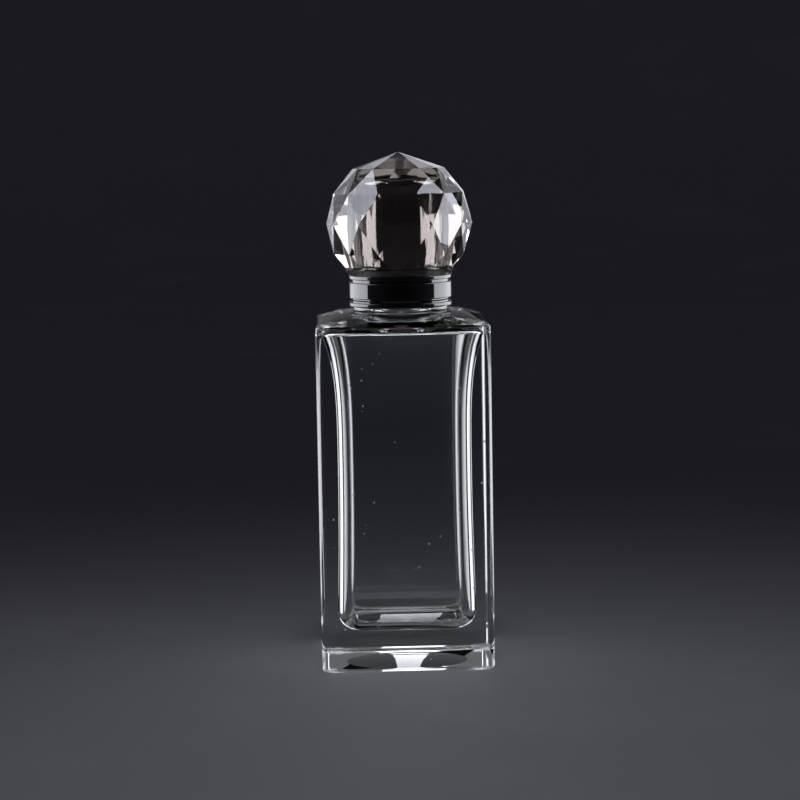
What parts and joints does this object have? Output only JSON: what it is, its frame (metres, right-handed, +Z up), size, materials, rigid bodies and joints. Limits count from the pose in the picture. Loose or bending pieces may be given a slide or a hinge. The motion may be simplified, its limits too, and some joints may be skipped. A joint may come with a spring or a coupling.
{
  "type": "aftershave bottle",
  "caption": "Tall square clear glass splash bottle with a heavy base, a grooved black collar and a faceted clear ball screw cap.",
  "frame": {"origin": "middle of the footprint, on the surface the bottle stands on", "axes": "+Z up along the neck, from the base to the cap; +X along the front face's width; -Y is the front"},
  "size_m": [0.038, 0.038, 0.1133],
  "materials": {
    "flint_glass": "polished clear flint glass",
    "collar_black": "high gloss black",
    "plug_natural": "natural polyethylene",
    "liner_foam": "white foamed polyethylene",
    "inner_cap_black": "satin black polypropylene",
    "core_black": "high gloss black",
    "clear_acrylic": "polished clear acrylic with a faint warm tint"
  },
  "bodies": {
    "bottle": {"glass_bottle": "flint_glass", "neck_ring": "collar_black", "pour_plug": "plug_natural"},
    "liner": {"cap_liner": "liner_foam"},
    "cap": {"inner_cap": "inner_cap_black", "skirt_ring": "collar_black", "core_cup": "core_black", "ball_cap": "clear_acrylic"}
  },
  "joints": [
    {"name": "cap_lift", "type": "slide", "parent": "bottle", "child": "liner", "axis": [0, 0, 1], "range_m": [0, 0.00625]},
    {"name": "cap_turn", "type": "hinge", "parent": "liner", "child": "cap", "pos_m": [0, 0, 0.088], "axis": [0, 0, 1], "range_deg": [0, 900]}
  ],
  "couplings": [
    {"joint": "cap_lift", "follows": "cap_turn", "m_per_rad": 0.00039789}
  ]
}
